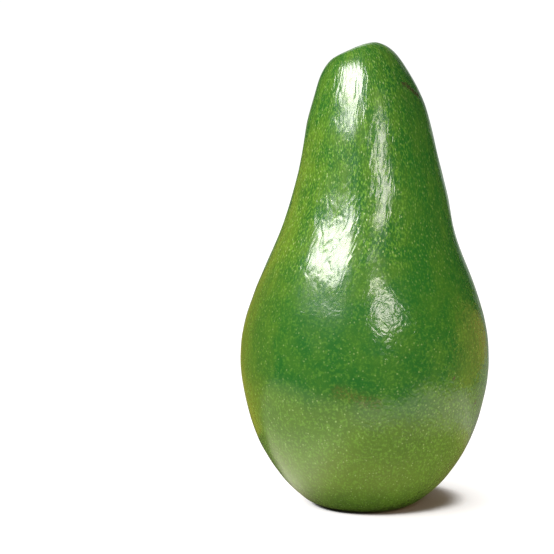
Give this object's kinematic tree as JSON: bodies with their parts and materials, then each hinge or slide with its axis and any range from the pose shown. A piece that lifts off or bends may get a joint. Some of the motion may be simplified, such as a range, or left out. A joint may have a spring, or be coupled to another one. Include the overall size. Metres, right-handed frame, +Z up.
{
  "type": "avocado",
  "caption": "Whole smooth green avocado, pear shaped with a long neck, standing upright on the blunt end of its belly.",
  "frame": {"origin": "centre of the small flat spot under the belly, which the fruit rests on", "axes": "+Z up to the stem end, -Y out of the fruit's front, +X to the right seen from the front"},
  "size_m": [0.0672, 0.0659, 0.1249],
  "materials": {
    "skin": "smooth glossy green rind with fine yellow-green specks",
    "stem": "dry rough brown stalk"
  },
  "bodies": {
    "root": {"fruit": "skin", "stem_button": "stem"}
  },
  "joints": []
}
